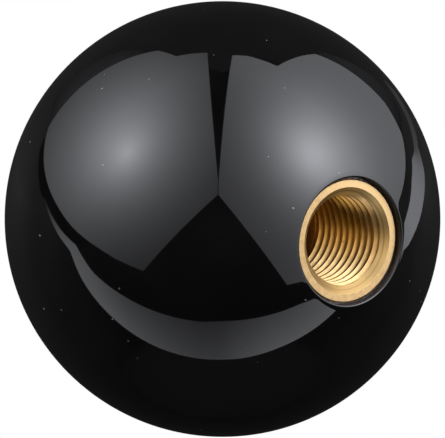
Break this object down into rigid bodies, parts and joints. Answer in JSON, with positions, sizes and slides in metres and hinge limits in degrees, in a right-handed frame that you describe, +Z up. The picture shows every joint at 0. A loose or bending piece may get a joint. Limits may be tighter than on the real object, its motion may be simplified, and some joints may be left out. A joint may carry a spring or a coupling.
{
  "type": "ball knob",
  "caption": "Glossy black moulded ball knob with a recessed brass insert, bored blind and threaded for a stud.",
  "frame": {"origin": "centre of the brass insert's front face, which a stud's shoulder meets", "axes": "-Y out of the knob's mouth along the thread's axis, +Y through the ball's centre, +Z up"},
  "size_m": [0.045, 0.044, 0.045],
  "materials": {
    "resin": "black phenolic resin, moulded and polished to a high gloss",
    "brass": "turned, with fine machining marks"
  },
  "bodies": {
    "root": {"ball": "resin", "threaded_insert": "brass"}
  },
  "joints": []
}
